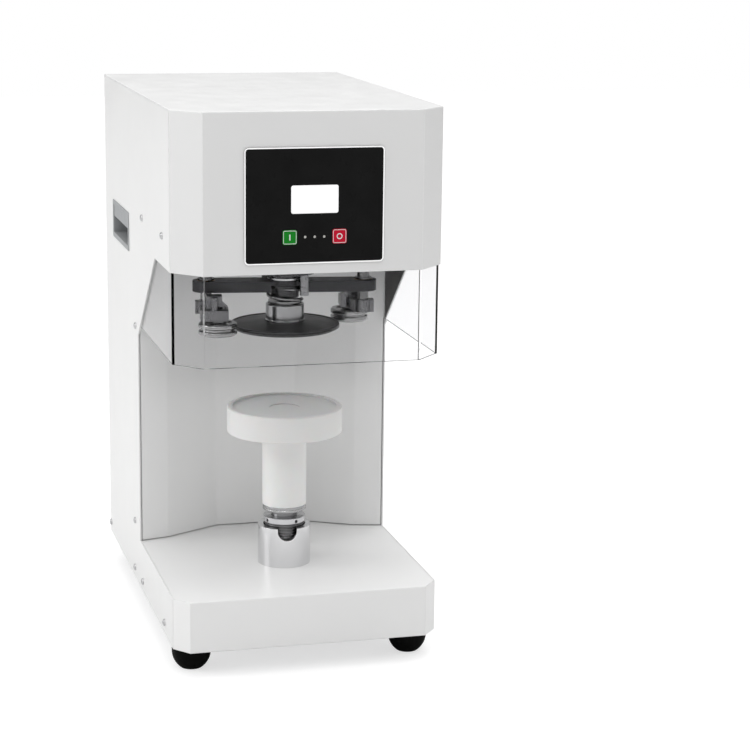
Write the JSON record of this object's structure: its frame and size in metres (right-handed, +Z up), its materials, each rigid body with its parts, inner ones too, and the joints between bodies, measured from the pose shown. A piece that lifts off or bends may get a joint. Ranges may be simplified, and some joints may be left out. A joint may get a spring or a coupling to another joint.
{
  "type": "desktop can seaming machine",
  "caption": "Desktop can seamer: folded sheet case with control panel, clear guard, spinning beam with two seaming rollers, sprung chuck and screw-driven can tray.",
  "frame": {"origin": "on the table, at the middle of the case seen from above", "axes": "+Z up, -Y towards the operator, +X to the operator's right"},
  "size_m": [0.264, 0.4429, 0.54],
  "materials": {
    "white_paint": "smooth satin powder coat",
    "zinc_steel": "zinc plated sheet",
    "grey_plastic": "fine moulded texture",
    "black_rubber": "matt moulded rubber",
    "screw_steel": "zinc plated",
    "clear_plastic": "clear acrylic",
    "black_film": "printed film, satin",
    "white_window": "clear window over a pale display",
    "clear_lens": "small tinted lenses",
    "green_plastic": "satin moulded cap",
    "red_plastic": "satin moulded cap",
    "board_laminate": "green laminate",
    "black_plastic": "moulded, slight gloss",
    "grey_iron": "machined casting",
    "aluminium": "turned and milled",
    "ground_steel": "ground",
    "dark_steel": "blackened, satin",
    "bronze": "sintered bronze",
    "motor_paint": "black enamel",
    "belt_rubber": "ribbed belt rubber",
    "bright_steel": "polished",
    "white_plastic": "turned acetal"
  },
  "bodies": {
    "case": {"base_cover": "white_paint", "bearing_housing": "grey_iron", "bottom_plate": "zinc_steel", "centre_spindle": "ground_steel", "clear_guard": "clear_plastic", "column_panel": "white_paint", "control_board": "board_laminate", "control_overlay": "black_film", "display_window": "white_window", "drive_belt": "belt_rubber", "drive_motor": "motor_paint", "fork_motor": "motor_paint", "frame_uprights": "zinc_steel", "guide_collar": "bright_steel", "head_cover": "white_paint", "indicator_lenses": "clear_lens", "left_side_panel": "white_paint", "lift_motor": "motor_paint", "mechanism_plate": "zinc_steel", "power_inlet": "black_plastic", "rear_panel": "white_paint", "rear_screws": "screw_steel", "right_side_panel": "white_paint", "rotor_bearings": "ground_steel", "rubber_feet": "black_rubber", "side_handles": "grey_plastic", "side_screws": "screw_steel", "spindle_bridge": "aluminium", "switch_housing": "black_plastic"},
    "rotor": {"rotor_hub": "ground_steel", "rotor_pulley": "aluminium", "rotor_beam": "dark_steel", "drive_posts": "ground_steel", "pivot_bushes": "bronze"},
    "drive_pulley": {"motor_pulley": "aluminium"},
    "fork": {"cam_fork": "aluminium"},
    "fork_drive": {"fork_screw": "ground_steel"},
    "cone": {"cam_cone": "ground_steel"},
    "arm_a": {"pivot_shaft_a": "ground_steel", "roller_arm_a": "bright_steel", "roller_pin_a": "bright_steel", "cam_lever_a": "ground_steel"},
    "arm_b": {"pivot_shaft_b": "ground_steel", "roller_arm_b": "bright_steel", "roller_pin_b": "bright_steel", "cam_lever_b": "ground_steel"},
    "roller_a": {"seaming_roller_a": "bright_steel"},
    "roller_b": {"seaming_roller_b": "bright_steel"},
    "chuck": {"chuck_disc": "dark_steel", "chuck_collar": "bright_steel", "chuck_spring": "bright_steel"},
    "lift": {"lift_spindle": "ground_steel", "post_flange": "bright_steel", "tray_post": "white_plastic", "can_tray": "white_plastic"},
    "lift_drive": {"lift_screw": "ground_steel"},
    "ring": {"adjusting_ring": "bright_steel"},
    "start_key": {"green_key": "green_plastic"},
    "stop_key": {"red_key": "red_plastic"},
    "rocker": {"switch_rocker": "black_plastic"}
  },
  "joints": [
    {"name": "rotor_spin", "type": "hinge", "parent": "case", "child": "rotor", "pos_m": [0, -0.096, 0.36], "axis": [0, 0, 1], "continuous": true},
    {"name": "motor_spin", "type": "hinge", "parent": "case", "child": "drive_pulley", "pos_m": [0, 0.104, 0.48], "axis": [0, 0, 1], "continuous": true},
    {"name": "fork_slide", "type": "slide", "parent": "case", "child": "fork", "axis": [0, 0, -1], "range_m": [0, 0.012]},
    {"name": "fork_screw_turn", "type": "hinge", "parent": "case", "child": "fork_drive", "pos_m": [0, -0.026, 0.42], "axis": [0, 0, 1], "range_deg": [0, 1440]},
    {"name": "cone_slide", "type": "slide", "parent": "rotor", "child": "cone", "axis": [0, 0, -1], "range_m": [0, 0.012]},
    {"name": "arm_a_swing", "type": "hinge", "parent": "rotor", "child": "arm_a", "pos_m": [-0.07625, -0.08528, 0.36], "axis": [0, 0, 1], "range_deg": [0, 4.08]},
    {"name": "arm_b_swing", "type": "hinge", "parent": "rotor", "child": "arm_b", "pos_m": [0.07625, -0.10672, 0.36], "axis": [0, 0, 1], "range_deg": [0, 4.08]},
    {"name": "roller_a_spin", "type": "hinge", "parent": "arm_a", "child": "roller_a", "pos_m": [-0.07152, -0.12097, 0.3224], "axis": [0, 0, 1], "continuous": true},
    {"name": "roller_b_spin", "type": "hinge", "parent": "arm_b", "child": "roller_b", "pos_m": [0.07152, -0.07103, 0.3224], "axis": [0, 0, 1], "continuous": true},
    {"name": "chuck_float", "type": "slide", "parent": "case", "child": "chuck", "axis": [0, 0, 1], "range_m": [0, 0.0025], "stiffness_N_per_m": 6000, "springref_m": -0.001, "deforming": ["chuck_spring"]},
    {"name": "lift_raise", "type": "slide", "parent": "case", "child": "lift", "axis": [0, 0, 1], "range_m": [0, 0.02]},
    {"name": "lift_screw_turn", "type": "hinge", "parent": "case", "child": "lift_drive", "pos_m": [0, -0.096, 0.08], "axis": [0, 0, 1], "range_deg": [0, 1800]},
    {"name": "ring_turn", "type": "hinge", "parent": "lift", "child": "ring", "pos_m": [0, -0.096, 0.11], "axis": [0, 0, 1], "continuous": true},
    {"name": "green_key_press", "type": "slide", "parent": "case", "child": "start_key", "axis": [0, 1, 0], "range_m": [0, 0.0008], "stiffness_N_per_m": 400, "springref_m": -0.0005},
    {"name": "red_key_press", "type": "slide", "parent": "case", "child": "stop_key", "axis": [0, 1, 0], "range_m": [0, 0.0008], "stiffness_N_per_m": 400, "springref_m": -0.0005},
    {"name": "power_switch", "type": "hinge", "parent": "case", "child": "rocker", "pos_m": [-0.015, 0.2155, 0.062], "axis": [1, 0, 0], "range_deg": [0, 14]}
  ],
  "couplings": [
    {"joint": "motor_spin", "follows": "rotor_spin", "ratio": 2.5},
    {"joint": "fork_screw_turn", "follows": "fork_slide", "rad_per_m": 2094.4},
    {"joint": "cone_slide", "follows": "fork_slide", "ratio": 1},
    {"joint": "arm_a_swing", "follows": "fork_slide", "rad_per_m": 5.9096},
    {"joint": "arm_b_swing", "follows": "fork_slide", "rad_per_m": 5.9096},
    {"joint": "lift_screw_turn", "follows": "lift_raise", "rad_per_m": 1570.8}
  ]
}
